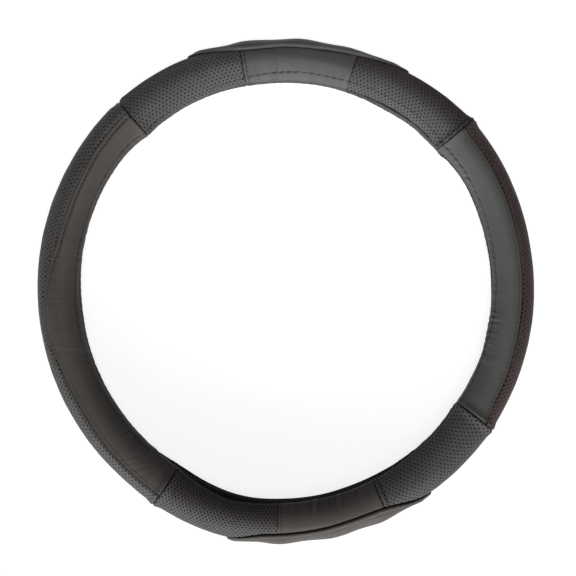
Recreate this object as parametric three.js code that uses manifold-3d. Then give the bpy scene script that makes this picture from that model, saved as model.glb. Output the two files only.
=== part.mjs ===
// A slip-on leather cover for a steering wheel, lying on its back with its front face up.
// It is a ring of C-shaped section: a moulded rubber channel that grips the wheel's rim,
// and sewn leather over it.
// Millimetres, +Z up. Angles along the rim are degrees from +X towards +Y.
// Angles round the section are degrees from its outer edge, rising towards the front face.
import * as THREE from "three";
import { mergeVertices } from "three/addons/utils/BufferGeometryUtils.js";
import Module from "manifold-3d";

// The wheel that the cover is made for
const wheelDiameter = 380;
const rimThickness = 29.2;

// How far the soft ring lies out of round: waves of its outline, each with a crest at the given angle
const waves = [
  { lobes: 2, height: 1.2, at: 94.5 },
  { lobes: 3, height: 1.05, at: 20 },
  { lobes: 5, height: 0.4, at: 42.8 },
];

// The moulded rubber channel
const rubberWall = 2.2;
const mouthAngle = 64;
const lipRound = 4;
const ribHeight = 0.5;
const ribCount = 4;
const jointGap = 0.3;

// The channel's four lengths, named for where they lie, and where the first of them starts
const firstJoint = 22.5;
const rubberLengths = ["rubber_upper_right", "rubber_upper_left", "rubber_lower_left", "rubber_lower_right"];

// The leather
const leatherWall = 1.0;
const hemSetback = 2;
const hemRoll = 3;
const hemThinning = 0.4;
const seatGap = 0.3;
const seamGap = 0.3;

// How far the front hem is pulled back from the channel's lip: angle along the rim, angle round the section
const hemPulledBack = [[235, 0], [250, 8], [262, 7], [285, 1], [300, 0]];

// Seams: the groove along each one, and the bulge of the turned-in edges beside the thick ones
const seamGroove = 0.45;
const grooveWidth = 1.2;
const bulgeReach = 7;
const thickSeam = 1.1;
const thinSeam = 0;
const longSeam = 0.35;
const longSeamReach = 3;

// Width of the strip on which the ring lies
const restWidth = 6;

// Places of the eight seams across the rim, with the bulge beside each
const seams = {
  upperRight: { at: 42.4, bulge: thickSeam },
  topRight: { at: 73, bulge: thinSeam },
  topLeft: { at: 100.5, bulge: thinSeam },
  upperLeft: { at: 131.7, bulge: thickSeam },
  lowerLeft: { at: 238.4, bulge: thickSeam },
  bottomLeft: { at: 268.2, bulge: thinSeam },
  bottomRight: { at: 295.3, bulge: thinSeam },
  lowerRight: { at: 326, bulge: thickSeam },
};

// The two seams along the rim wander, as sewn: angle along the rim, angle round the section
const rightSeamLine = [[326, 62], [334, 67], [360, 68], [402.4, 66]];
const leftSeamLine = [
  [131.7, 75], [142, 76], [160, 82], [170, 75], [182, 50],
  [188, 40], [196, 56], [208, 67], [228, 63], [238.4, 64],
];

// The padded grips: their ends, the run of finger bumps, and half their width round the section
const padEdge = 0.7;
const padRise = 0.35;
const fingerHeight = 0.4;
const padTaper = 9;
const topPad = {
  from: 60.3, to: 113, beforeFingers: 3.7, afterFingers: 1.4,
  halfWidth: [[60.3, 14], [70, 38], [80, 51], [97, 58], [104, 47], [109, 27], [113, 18]],
};
const bottomPad = {
  from: 256.5, to: 306, beforeFingers: 1.1, afterFingers: 1.6,
  halfWidth: [[256.5, 14], [260, 24], [264, 47], [272, 57], [290, 65], [296, 58], [301, 30], [306, 14]],
};
const fingerCount = 5;

// Fineness of the faceted solids
const rimStep = 7.5;
const channelStep = 25;
const sectionStep = 23;
const padRimStep = 3;
const padSectionStep = 15;
const padSectionSteps = 8;
const stationsPerFinger = 4;

// Sizes that follow from those above
const ringRadius = (wheelDiameter - rimThickness) / 2;
const channelReach = rimThickness / 2;
const rubberReach = channelReach + rubberWall;
const coreReach = rubberReach + seatGap;
const leatherReach = coreReach + leatherWall;
const lipAngle = 180 - mouthAngle / 2;
const hemAngle = lipAngle - hemSetback;
const restDepth = Math.sqrt(leatherReach ** 2 - (restWidth / 2) ** 2);
const restHalfAngle = THREE.MathUtils.radToDeg(Math.asin(restWidth / 2 / leatherReach));

const wholeTurn = 360;

// Leather and rubber
const colours = {
  smoothLeather: { color: 0x3f3c3b, roughness: 0.55, metalness: 0 },
  perforatedLeather: { color: 0x383432, roughness: 0.6, metalness: 0 },
  rubber: { color: 0x171717, roughness: 0.4, metalness: 0 },
};

const wasm = await Module();
wasm.setup();

const cosDegrees = (angle) => Math.cos(THREE.MathUtils.degToRad(angle));
const sinDegrees = (angle) => Math.sin(THREE.MathUtils.degToRad(angle));

// Length on the section's surface as an angle round it
const roundSection = (length) => THREE.MathUtils.radToDeg(length / leatherReach);

// Length along the rim as an angle
const alongRim = (length) => THREE.MathUtils.radToDeg(length / ringRadius);

// Distance from the ring's axis to the middle of its section
const spineRadius = (along) => waves.reduce(
  (radius, { lobes, height, at }) => radius + height * cosDegrees(lobes * (along - at)), ringRadius);

// A point of the cover, no lower than the strip it lies on
function onCover(along, around, reach) {
  const fromAxis = spineRadius(along) + reach * cosDegrees(around);
  const height = Math.max(reach * sinDegrees(around), -restDepth);
  return new THREE.Vector3(fromAxis * cosDegrees(along), fromAxis * sinDegrees(along), height);
}

// Value of a hand-drawn line at x, eased from point to point
function follow(line, x) {
  const next = line.findIndex(([at]) => at >= x);
  if (next <= 0) return next < 0 ? line.at(-1)[1] : line[0][1];
  const [fromX, fromY] = line[next - 1];
  const [toX, toY] = line[next];
  return THREE.MathUtils.lerp(fromY, toY, THREE.MathUtils.smoothstep(x, fromX, toX));
}

// Number of equal steps, none longer than the given one, in each gap between neighbouring knots
function stepCounts(knots, step) {
  return knots.slice(1).map((knot, i) => Math.max(1, Math.ceil((knot - knots[i]) / step)));
}

// Knots with those equal steps filled in
function fillIn(knots, counts) {
  const filled = counts.flatMap((count, i) =>
    Array.from({ length: count }, (_, k) => THREE.MathUtils.lerp(knots[i], knots[i + 1], k / count)));
  return [...filled, knots.at(-1)];
}

// Geometry with nothing but positions, and its shared corners merged
function welded(geometry) {
  geometry.deleteAttribute("normal");
  geometry.deleteAttribute("uv");
  return mergeVertices(geometry);
}

// A box bent to the cover: bend(i, j, outer) gives the point for step i along the rim,
// step j round the section, and the inner or outer side of the wall
function bentBox(rimSteps, sectionSteps, bend) {
  const geometry = welded(new THREE.BoxGeometry(rimSteps, sectionSteps, 1, rimSteps, sectionSteps, 1));
  const corners = geometry.getAttribute("position");
  const corner = new THREE.Vector3();
  for (let k = 0; k < corners.count; k++) {
    corner.fromBufferAttribute(corners, k);
    const i = Math.round(corner.x + rimSteps / 2);
    const j = Math.round(corner.y + sectionSteps / 2);
    corners.setXYZ(k, ...bend(i, j, corner.z > 0));
  }
  return geometry;
}

// A closed outline of the section, as [angle round, reach] pairs, swept round the out-of-round ring
function sweptRing(outline, step) {
  const points = outline.map(([around, reach]) =>
    new THREE.Vector2(ringRadius + reach * cosDegrees(around), reach * sinDegrees(around)));
  const geometry = welded(new THREE.LatheGeometry([...points, points[0]], Math.ceil(wholeTurn / step)));
  geometry.rotateX(Math.PI / 2);
  const corners = geometry.getAttribute("position");
  for (let k = 0; k < corners.count; k++) {
    const along = THREE.MathUtils.radToDeg(Math.atan2(corners.getY(k), corners.getX(k)));
    const stretch = spineRadius(along) - ringRadius;
    corners.setX(k, corners.getX(k) + stretch * cosDegrees(along));
    corners.setY(k, corners.getY(k) + stretch * sinDegrees(along));
  }
  return geometry;
}

// Angles of the corners on the rubber's outside, from the back lip round the outer edge to the front lip
const channelKnots = [-lipAngle, lipAngle];
const channelAngles = fillIn(channelKnots, stepCounts(channelKnots, channelStep));

// The moulded channel all round: plain outside, round lips, and ribs inside that grip the wheel's rim
function rubberChannel() {
  const outside = channelAngles.map((around) => [around, rubberReach]);
  const lipMiddle = channelReach + rubberWall / 2;
  const ribSteps = 2 * ribCount + 1;
  const inside = Array.from({ length: ribSteps }, (_, k) => {
    const around = THREE.MathUtils.lerp(lipAngle, -lipAngle, k / (ribSteps - 1));
    return [around, channelReach + (k % 2 ? 0 : ribHeight)];
  });
  return sweptRing([
    ...outside, [lipAngle + lipRound, lipMiddle],
    ...inside, [-lipAngle - lipRound, lipMiddle],
  ], rimStep);
}

const solidOf = (geometry) => new wasm.Manifold(new wasm.Mesh({
  numProp: 3,
  vertProperties: geometry.getAttribute("position").array,
  triVerts: new Uint32Array(geometry.index.array),
}));

function geometryOf(solid) {
  const mesh = solid.getMesh();
  return new THREE.BufferGeometry()
    .setAttribute("position", new THREE.BufferAttribute(mesh.vertProperties, 3))
    .setIndex(new THREE.BufferAttribute(mesh.triVerts, 1));
}

// The space between two angles along the rim, half a joint's gap inside each
function wedge(from, to) {
  const outside = (along) => new THREE.Vector2(wheelDiameter, 0).rotateAround(
    new THREE.Vector2(), THREE.MathUtils.degToRad(along));
  const shape = new THREE.Shape([new THREE.Vector2(), outside(from), outside(to)]);
  const geometry = new THREE.ExtrudeGeometry(shape, { depth: 2 * rimThickness, bevelEnabled: false });
  const middle = (from + to) / 2;
  const inset = jointGap / 2 / sinDegrees((to - from) / 2);
  geometry.translate(inset * cosDegrees(middle), inset * sinDegrees(middle), -rimThickness);
  return welded(geometry);
}

// What the leather is drawn over: the channel filled in, a seat gap larger than the rubber
const core = solidOf(sweptRing([...channelAngles, 180].map((around) => [around, coreReach]), rimStep));

// What the grip pads are drawn over: the leather's plain surface, a seat gap larger
const seatKnots = [-wholeTurn / 2, wholeTurn / 2];
const seatAngles = fillIn(seatKnots, stepCounts(seatKnots, padSectionStep)).slice(1);
const padSeat = solidOf(sweptRing(seatAngles.map((around) => [around, leatherReach + seatGap]), padRimStep));

// Height of the leather above its plain surface at a distance from a seam
function besideSeam(distance, bulge, reach) {
  const crown = bulge * (1 - THREE.MathUtils.smoothstep(distance, 0, reach));
  const groove = seamGroove * Math.max(1 - distance / grooveWidth, 0);
  return crown - groove;
}

// Knots from a seam across the rim to the end of its groove and of its bulge
const seamKnots = ({ bulge }) => [seamGap / 2, grooveWidth, ...(bulge > 0 ? [bulgeReach] : [])];

// An edge of a panel at the back or front hem: the leather thins there into its rolled edge
const hem = (at) => ({
  at,
  knots: [0, hemRoll],
  height: (distance) => -hemThinning * Math.max(1 - distance / hemRoll, 0),
});

// An edge of a panel along one of the wandering seams
const longEdge = (line) => ({
  at: (along) => follow(line, along),
  knots: [seamGap / 2, grooveWidth, longSeamReach],
  height: (distance) => besideSeam(distance, longSeam, longSeamReach),
});

// Knots round the section between two edges, with the strip it lies on between knots of its own
function sectionKnots(low, high, along) {
  const rising = low.knots.map((length) => low.at(along) + roundSection(length));
  const falling = high.knots.map((length) => high.at(along) - roundSection(length)).reverse();
  const rest = [-90 - restHalfAngle, -90 + restHalfAngle].filter((around) => around > rising.at(-1));
  return [...rising, ...rest, ...falling];
}

// A panel of leather between two seams across the rim and two edges along it
function leatherPanel(start, end, low, high) {
  const from = start.at;
  const to = end.at > from ? end.at : end.at + wholeTurn;
  const rimKnots = [
    ...seamKnots(start).map((length) => from + alongRim(length)),
    ...seamKnots(end).map((length) => to - alongRim(length)).reverse(),
  ];
  const rimPlaces = fillIn(rimKnots, stepCounts(rimKnots, rimStep));
  const knots = rimPlaces.map((along) => sectionKnots(low, high, along));
  const counts = knots.map((row) => stepCounts(row, sectionStep));
  const most = counts[0].map((_, k) => Math.max(...counts.map((row) => row[k])));
  const rows = knots.map((row) => fillIn(row, most));
  const blank = bentBox(rimPlaces.length - 1, rows[0].length - 1, (i, j, outer) => {
    const along = rimPlaces[i];
    const around = rows[i][j];
    if (!outer) return onCover(along, around, rubberReach - rubberWall / 2);
    const fromStart = (along - from) / alongRim(1);
    const toEnd = (to - along) / alongRim(1);
    const acrossSeams = Math.abs(fromStart) < Math.abs(toEnd)
      ? besideSeam(fromStart, start.bulge, bulgeReach)
      : besideSeam(toEnd, end.bulge, bulgeReach);
    const fromLow = (around - low.at(along)) / roundSection(1);
    const toHigh = (high.at(along) - around) / roundSection(1);
    const alongEdge = fromLow < toHigh ? low.height(fromLow) : high.height(toHigh);
    return onCover(along, around, leatherReach + acrossSeams + alongEdge);
  });
  return geometryOf(solidOf(blank).subtract(core));
}

// A padded grip over the outer edge of the rim: a crescent of leather over thin foam, sewn down all round,
// with shallow bumps between the fingers
function gripPad(pad) {
  const firstFinger = pad.from + pad.beforeFingers;
  const pitch = (pad.to - pad.afterFingers - firstFinger) / (fingerCount - 1);
  const fingerKnots = Array.from({ length: fingerCount }, (_, k) => firstFinger + k * pitch);
  const bumps = fillIn(fingerKnots, fingerKnots.slice(1).map(() => stationsPerFinger));
  const rimPlaces = [pad.from, ...bumps, pad.to];
  const blank = bentBox(rimPlaces.length - 1, padSectionSteps, (i, j, outer) => {
    const along = rimPlaces[i];
    const across = 2 * j / padSectionSteps - 1;
    const around = across * follow(pad.halfWidth, along);
    if (!outer) return onCover(along, around, coreReach);
    const fromEnd = Math.min(along - pad.from, pad.to - along) / alongRim(1);
    const filling = (1 - across ** 4) * THREE.MathUtils.smoothstep(fromEnd, 0, padTaper);
    const finger = fingerHeight * (1 + cosDegrees(wholeTurn * (along - firstFinger) / pitch));
    return onCover(along, around, leatherReach + seatGap + padEdge + (padRise + finger) * filling);
  });
  return geometryOf(solidOf(blank).subtract(padSeat));
}

function mesh(name, geometry, colour) {
  const piece = new THREE.Mesh(geometry, new THREE.MeshStandardMaterial(colour));
  piece.name = name;
  return piece;
}

const back = hem(() => -hemAngle);
const front = hem((along) => hemAngle - follow(hemPulledBack, along));
const alongRight = longEdge(rightSeamLine);
const alongLeft = longEdge(leftSeamLine);
const { smoothLeather, perforatedLeather, rubber } = colours;

// Each panel's seams, in the order they come round the rim, its two edges and its leather
const panels = {
  upper_right_panel: [seams.upperRight, seams.topRight, back, front, perforatedLeather],
  top_panel: [seams.topRight, seams.topLeft, back, front, smoothLeather],
  upper_left_panel: [seams.topLeft, seams.upperLeft, back, front, perforatedLeather],
  left_perforated_strip: [seams.upperLeft, seams.lowerLeft, back, alongLeft, perforatedLeather],
  left_smooth_strip: [seams.upperLeft, seams.lowerLeft, alongLeft, front, smoothLeather],
  lower_left_panel: [seams.lowerLeft, seams.bottomLeft, back, front, perforatedLeather],
  bottom_panel: [seams.bottomLeft, seams.bottomRight, back, front, smoothLeather],
  lower_right_panel: [seams.bottomRight, seams.lowerRight, back, front, perforatedLeather],
  right_perforated_strip: [seams.lowerRight, seams.upperRight, back, alongRight, perforatedLeather],
  right_smooth_strip: [seams.lowerRight, seams.upperRight, alongRight, front, smoothLeather],
};

const cover = new THREE.Group();
const channel = solidOf(rubberChannel());
for (const [k, name] of rubberLengths.entries()) {
  const span = wholeTurn / rubberLengths.length;
  const from = firstJoint + k * span;
  cover.add(mesh(name, geometryOf(channel.intersect(solidOf(wedge(from, from + span)))), rubber));
}
for (const [name, [start, end, low, high, colour]] of Object.entries(panels)) {
  cover.add(mesh(name, leatherPanel(start, end, low, high), colour));
}
cover.add(mesh("top_grip_pad", gripPad(topPad), smoothLeather));
cover.add(mesh("bottom_grip_pad", gripPad(bottomPad), smoothLeather));

// The origin is on the surface that the cover lies on, under the middle of its outline
const extent = new THREE.Box3().setFromObject(cover, true);
const middle = extent.getCenter(new THREE.Vector3());
cover.position.set(-middle.x, -middle.y, -extent.min.z);

export default cover;
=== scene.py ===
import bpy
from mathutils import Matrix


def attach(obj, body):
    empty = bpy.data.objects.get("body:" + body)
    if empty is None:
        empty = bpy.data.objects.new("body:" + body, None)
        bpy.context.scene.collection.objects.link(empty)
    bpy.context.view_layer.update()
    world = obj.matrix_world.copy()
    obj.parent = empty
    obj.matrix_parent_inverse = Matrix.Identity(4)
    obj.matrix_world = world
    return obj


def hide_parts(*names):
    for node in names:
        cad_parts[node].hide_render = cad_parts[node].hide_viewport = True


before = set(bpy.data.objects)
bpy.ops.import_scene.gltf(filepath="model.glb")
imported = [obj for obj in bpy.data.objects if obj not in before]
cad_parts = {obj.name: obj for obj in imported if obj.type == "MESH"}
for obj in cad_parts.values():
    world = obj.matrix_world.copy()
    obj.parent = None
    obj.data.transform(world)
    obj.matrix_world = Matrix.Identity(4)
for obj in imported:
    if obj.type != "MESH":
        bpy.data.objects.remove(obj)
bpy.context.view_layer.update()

import math

import bmesh
import bpy
import numpy as np
from mathutils import Matrix, Vector

# Rubber ring. The cover is built on one moulded ring of soft black rubber, C-shaped in section.
# It comes out of the mould smooth and rather dull. Grooves inside leave ribs that grip the wheel's rim.

# Lengths are in mm and angles in degrees: along the rim from +X, and round the section from its
# outer edge towards the front face
MM = .001
MIDDLE = (-.141, 1.28, 17.85)
RING_RADIUS = 175.4
# The soft ring isn't quite round: how many waves go round it, their height, and where one is highest
WAVES = ((2, 1.2, 94.5), (3, 1.05, 20), (5, .4, 42.8))
# Reaches are from the middle of the section. The cover lies flat on what is REST_DEPTH below it
REST_DEPTH = 17.85
LEATHER_REACH = 18.1
RUBBER_REACH = 16.5
RUBBER_WALL = 2.0
RUBBER_LIP = 149.0
LIP_MIDDLE = RUBBER_REACH - RUBBER_WALL / 2
GROOVE_DEPTH = .6
GROOVES = 9
SAME_PLACE = .001
# By how many degrees its lips end sooner (+), where the leather is drawn right over them, or later (-)
LIP_DEPTH = ((0, 8), (225, 8), (236, 0), (240, -2.5), (246, -4), (250, -5.5), (262, -6), (268, -4),
             (276, -5.5), (286, -5), (292, -3), (298, -3), (304, 0), (316, 7), (350, 8))

# How far the worn-in ring lies outside (+) or inside (-) its smooth outline, at its outer edge
OUTER_PULL = ((0, .2), (10, -.2), (20, .1), (30, .6), (36, 1.06), (40, 1.35), (46, .84), (52, .38),
              (57, -.17), (62, -.6), (70, -.81), (80, -1.02), (92, -1.13), (104, -1.12), (109, -.94),
              (114, -.34), (120, .08), (126, .19), (130.3, .25), (131.5, -.9), (132.7, -.9), (134, .3),
              (137, .26), (144, .18), (150, .01), (160, -.07), (170, .09), (180, -.05), (190, .15),
              (200, .63), (210, .66), (220, .57), (230, .16), (236, .55), (245, .85), (251, 1.0),
              (256, 1.2), (262, -.5), (270, -.95), (276, -1.27), (288, -1.1), (296, -.6), (302, -.32),
              (308, .34), (314, .59), (321, .6), (324, .95), (327, .75), (330, .5), (340, .3), (350, .4))
# How far its front and back lips lean in towards the ring's middle, from where on and over how many degrees
LEAN_FROM = 95
LEAN_OVER = 52
FRONT_PULL = ((0, .26), (10, .57), (15, .68), (20, .38), (30, -.01), (35, .4), (39, 1.2), (42, 2.1),
              (44, 1.4), (47, .01), (52, -.69), (60, -.88), (68, -.88), (76, -.58), (85, -.48), (95, .22),
              (103, .61), (110, .88), (116, 1.45), (120, 1.25), (128, 1.45), (131.7, 2.5), (135, .57),
              (140, -.48), (147, -.77), (157, -.3), (164, .7), (170, .6), (180, .55), (188, .87), (196, .7),
              (206, .53), (216, .86), (226, 1.19), (232, 2.25), (235, 2.3), (239, 2.19), (242, 1.89),
              (246, 1.19), (251, .59), (260, .09), (270, .72), (280, 1.14), (290, 1.15), (300, 1.15),
              (308, 1.53), (316, .88), (320, .85), (324, 1.35), (328, 1.65), (335, 1.09), (342, 1.0),
              (350, 1.5), (355, .9))
BACK_PULL = ((0, -.9), (10, -.68), (20, -.87), (30, -1.35), (35, -.84), (39, 0), (42, 1.0), (44, 1.3),
             (47, 1.08), (52, .39), (60, .7), (68, -.1), (76, -1), (85, -.8), (95, -.2), (110, -.26),
             (120, -.03), (128, .5), (131.7, .82), (135, -.35), (140, -1.4), (147, -1.79), (157, -1.58),
             (172, -1.06), (180, -.25), (188, -.01), (196, -.47), (216, -.47), (226, -.22), (234, .47),
             (239, 1.7), (242, 1.5), (246, .65), (251, -.35), (256, -1.15), (260, -1.25), (270, -.17),
             (280, -.07), (290, .5), (300, .3), (308, -.19), (316, -.56), (324, .15), (328, -.21),
             (335, -.85), (342, -1.21), (355, -1.27))


def drawn(points, x, closed=False):
    """The value at x of a smooth curve through given points, round the whole ring if closed."""
    at, value = np.array(points, float).T
    if closed:
        x = np.mod(x, 360)
        at = np.concatenate((at - 360, at, at + 360))
        value = np.tile(value, 3)
    secants = np.abs(np.diff(value) / np.diff(at))
    steepest = 3 * np.concatenate((secants[:1], np.minimum(secants[1:], secants[:-1]), secants[-1:]))
    slope = np.clip(np.gradient(value, at), -steepest, steepest)
    k = np.clip(np.searchsorted(at, x) - 1, 0, len(at) - 2)
    step = at[k + 1] - at[k]
    t = np.clip((x - at[k]) / step, 0, 1)
    return (value[k] * (2 * t**3 - 3 * t**2 + 1) + slope[k] * step * (t**3 - 2 * t**2 + t)
            + value[k + 1] * (3 * t**2 - 2 * t**3) + slope[k + 1] * step * (t**3 - t**2))


def eased(t):
    """A smooth step from 0 to 1."""
    t = np.clip(t, 0, 1)
    return t * t * (3 - 2 * t)


def place(along, around, reach, lip=180):
    """Points of the cover in metres, from angles in degrees and the reach from the section's middle in mm.
    Past the lip they turn in round the rubber's rounded edge."""
    turn, lean = np.radians(along), np.radians(around)
    last = np.clip(lean, -math.radians(lip), math.radians(lip))
    curl = last + (lean - last) * LEATHER_REACH / (LEATHER_REACH - LIP_MIDDLE)
    past = np.abs(around) > lip
    over = reach - LIP_MIDDLE
    out = np.where(past, LIP_MIDDLE * np.cos(last) + over * np.cos(curl), reach * np.cos(lean))
    up = np.where(past, LIP_MIDDLE * np.sin(last) + over * np.sin(curl), reach * np.sin(lean))
    radius = RING_RADIUS + sum(h * np.cos(n * (turn - math.radians(at))) for n, h, at in WAVES) + out
    radius += drawn(OUTER_PULL, along, True) * np.cos(np.clip(lean * .9, -np.pi / 2, np.pi / 2)) ** 2
    radius -= drawn(FRONT_PULL, along, True) * eased((around - LEAN_FROM) / LEAN_OVER)
    radius -= drawn(BACK_PULL, along, True) * eased((-around - LEAN_FROM) / LEAN_OVER)
    height = np.maximum(up, -REST_DEPTH)
    x, y, z = MIDDLE
    return np.column_stack((radius * np.cos(turn) + x, radius * np.sin(turn) + y, height + z)) * MM


def vertex_places(mesh):
    """A mesh's vertices as rows of x, y and z."""
    places = np.empty(len(mesh.vertices) * 3)
    mesh.vertices.foreach_get("co", places)
    return places.reshape(-1, 3)


def put_up(name, mesh, material, replaced=()):
    """A finished piece in the scene: smooth shaded, in its material, riding on the cover."""
    mesh.polygons.foreach_set("use_smooth", np.ones(len(mesh.polygons), bool))
    piece = bpy.data.objects.new(name, mesh)
    bpy.context.scene.collection.objects.link(piece)
    mesh.materials.append(material)
    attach(piece, "root")
    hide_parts(*replaced)
    return piece


def linear(colour):
    """A colour written as sRGB hex, for a shader."""
    parts = [int(colour[k:k + 2], 16) / 255 for k in (1, 3, 5)]
    return [c / 12.92 if c <= .04045 else ((c + .055) / 1.055) ** 2.4 for c in parts] + [1]


def add(tree, kind, settings=None, **links):
    """A node with its settings and its inputs, each a value or the output that feeds it."""
    node = tree.nodes.new(kind)
    for key, value in (settings or {}).items():
        setattr(node, key, value)
    for key, value in links.items():
        socket = node.inputs[int(key[1:])] if key[0] == "_" else node.inputs[key.replace("_", " ")]
        if isinstance(value, bpy.types.NodeSocket):
            tree.links.new(value, socket)
        else:
            socket.default_value = value
    return node


def new_material(name):
    """An empty material and its node tree."""
    material = bpy.data.materials.new(name)
    material.use_nodes = True
    material.node_tree.nodes.clear()
    return material, material.node_tree


# Thermoplastic rubber, as it comes from a fine matt mould: near black, with a faint bloom of dust
rubber, tree = new_material("moulded_black_rubber")
place_on = add(tree, "ShaderNodeTexCoord").outputs["Object"]
bloom = add(tree, "ShaderNodeTexNoise", Vector=place_on, Scale=90.0, Detail=4.0)
tone = add(tree, "ShaderNodeMix", {"data_type": "RGBA"}, _0=bloom.outputs["Fac"],
           _6=linear("#0b0b0b"), _7=linear("#141313"))
gloss = add(tree, "ShaderNodeMapRange", Value=bloom.outputs["Fac"], To_Min=.5, To_Max=.7)
skin = add(tree, "ShaderNodeBump", Strength=.15, Distance=.0003, Height=bloom.outputs["Fac"])
shader = add(tree, "ShaderNodeBsdfPrincipled", Base_Color=tone.outputs[2], Roughness=gloss.outputs["Result"],
             Specular_IOR_Level=.07, Normal=skin.outputs["Normal"])
add(tree, "ShaderNodeOutputMaterial", Surface=shader.outputs["BSDF"])

RING_STEPS = 288
OUTSIDE_STEPS = 28
LIP_STEPS = 6
INSIDE_STEPS = 36
bm = bmesh.new()
lip_start = (RING_RADIUS + RUBBER_REACH * math.cos(math.radians(RUBBER_LIP)), 0,
             -RUBBER_REACH * math.sin(math.radians(RUBBER_LIP)))
chain = [bm.verts.new(lip_start)]
for middle_reach, middle_angle, turn, steps in (
        (0, 0, -2 * RUBBER_LIP, OUTSIDE_STEPS),
        (LIP_MIDDLE, RUBBER_LIP, -180, LIP_STEPS),
        (0, 0, 2 * RUBBER_LIP, INSIDE_STEPS),
        (LIP_MIDDLE, -RUBBER_LIP, -180, LIP_STEPS)):
    lean = math.radians(middle_angle)
    turned = bmesh.ops.spin(
        bm, geom=chain, cent=(RING_RADIUS + middle_reach * math.cos(lean), 0, middle_reach * math.sin(lean)),
        axis=(0, 1, 0), angle=math.radians(turn), steps=steps, use_merge=False)
    chain = [v for v in turned["geom_last"] if isinstance(v, bmesh.types.BMVert)]
bmesh.ops.remove_doubles(bm, verts=bm.verts[:], dist=SAME_PLACE)
bmesh.ops.spin(bm, geom=bm.verts[:] + bm.edges[:], cent=(0, 0, 0), axis=(0, 0, 1), angle=2 * math.pi,
               steps=RING_STEPS, use_merge=True)
bmesh.ops.remove_doubles(bm, verts=bm.verts[:], dist=SAME_PLACE)
bmesh.ops.recalc_face_normals(bm, faces=bm.faces[:])
mesh = bpy.data.meshes.new("rubber_ring")
bm.to_mesh(mesh)
bm.free()
moulded = vertex_places(mesh)
from_spine = np.hypot(moulded[:, 0], moulded[:, 1]) - RING_RADIUS
reach = np.hypot(from_spine, moulded[:, 2])
around = np.degrees(np.arctan2(moulded[:, 2], from_spine))
inner_wall = reach < RUBBER_REACH - RUBBER_WALL + .05
through_groove = np.radians(around) * 360 / (2 * RUBBER_LIP) * GROOVES
reach += inner_wall * GROOVE_DEPTH * (.5 + .5 * np.cos(through_groove))
along = np.degrees(np.arctan2(moulded[:, 1], moulded[:, 0]))
around -= np.sign(around) * drawn(LIP_DEPTH, along, True) * eased((np.abs(around) - 90) / (RUBBER_LIP - 90))
mesh.vertices.foreach_set("co", place(along, around, reach).ravel())
put_up("rubber_ring", mesh, rubber,
       ("rubber_upper_right", "rubber_upper_left", "rubber_lower_left", "rubber_lower_right"))


# Short perforated panels. Four pieces of punched leather lie across the rim between the smooth ones.
# Each is cut flat, punched in a staggered pattern, sewn edge to edge to its neighbours, wrapped round
# the rubber ring and glued at its two hems.
ALONG = math.radians(1) * RING_RADIUS
AROUND = math.radians(1) * LEATHER_REACH
LEATHER_THICKNESS = .8
TURN_IN = 141  # from this angle round the section on, the leather turns in round the rubber's lips
FULL_CUT = 166
FLAT_PART = 40
SEAM_OVERLAP = .05  # neighbours overlap by this, so that no light shows between them
HOLE_RADIUS = .63
HOLE_STRAY = .13
BARE_HEM = 8
HEM_CUTS = range(115, 138, 3)  # angles of extra edges in the mesh, for the puckers beside the stitches

# Seams across the rim: where each crosses the outer edge, how far it has leant over by the front lip,
# the swelling of its turned-in edges, the depth and width of its groove, and the distance of a row of
# topstitching on either side of it, with how hard it is pulled
SEAM_LEAN_TO = 146
SEAMS = {
    "upper_right": dict(at=41.9, lean=.8, bulge=1.8, groove=(.8, .65), before=0, after=3.1, pulled=.8),
    "top_right": dict(at=72.95, lean=0, bulge=.15, groove=(.6, .4), before=0, after=0, pulled=0),
    "top_left": dict(at=100.75, lean=.15, bulge=.25, groove=(.9, .5), before=2.7, after=0, pulled=.75),
    "upper_left": dict(at=131.7, lean=0, bulge=.8, groove=(1.2, .8), before=1.9, after=0, pulled=.4),
    "lower_left": dict(at=238.2, lean=.8, bulge=1.5, groove=(1.0, .75), before=0, after=0, pulled=0),
    "bottom_left": dict(at=267.9, lean=.3, bulge=.1, groove=(.5, .35), before=0, after=2.6, pulled=.5),
    "bottom_right": dict(at=294.3, lean=.3, bulge=.3, groove=(.8, .5), before=0, after=4.2, pulled=.75),
    "lower_right": dict(at=325.7, lean=1.0, bulge=1.4, groove=(1.1, .8), before=0, after=0, pulled=0),
}
BULGE_REACH = 7
# Angles round the section of the two hems, which are turned in round the lips but end short of them at the
# bottom left, and of the rows of stitches that hold them
FRONT_HEM = ((0, 166), (226, 166), (234, 150), (240, 142), (245, 138), (250, 133), (255, 129), (260, 133),
             (265, 137), (270, 139), (280, 140), (290, 141), (300, 143), (310, 147), (320, 150), (332, 166))
BACK_HEM = ((0, -166), (226, -166), (236, -146), (250, -141), (296, -141), (304, -148), (314, -166))
BACK_ROW = -133
BACK_PULLED = .6
HEM_ROW = ((0, 134), (20, 131), (40, 126), (50, 121), (68, 118), (76, 120), (87, 119), (97, 124),
           (107, 130), (120, 136), (137, 135), (150, 135), (165, 134), (190, 131), (225, 133), (238, 132),
           (247, 124), (255, 118), (262, 122), (272, 129), (285, 130), (300, 132), (325, 136), (335, 138),
           (345, 138), (350, 133))
HEM_PITCH = 6.2
CROSS_PITCH = 3.2
# How hard the front row of stitches is pulled in along the rim, which also sets how dark its painted shade is
HEM_PULLED = ((0, .75), (30, .8), (35, 1), (43, 1), (48, .6), (72, .6), (74, 1.05), (98, 1), (104, .45),
              (122, .45), (128, .9), (145, .8), (165, .55), (215, .5), (238, .3), (255, .15), (295, .15),
              (320, .25), (330, .4), (345, .75))
# The hem rolls down at its edge. Its stitches pull a groove into the leather, deeper at the needle holes,
# and between them and the edge the leather puckers
HEM_ROLL = .75
HEM_ROLL_REACH = 1.6
ROW_GROOVE = .35
ROW_NEEDLING = .12
ROW_REACH = .65
PUCKER = .14
PUCKER_STRAY = .13
PUCKER_FROM_ROW = 2.6
PUCKER_REACH = 2.4
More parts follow.
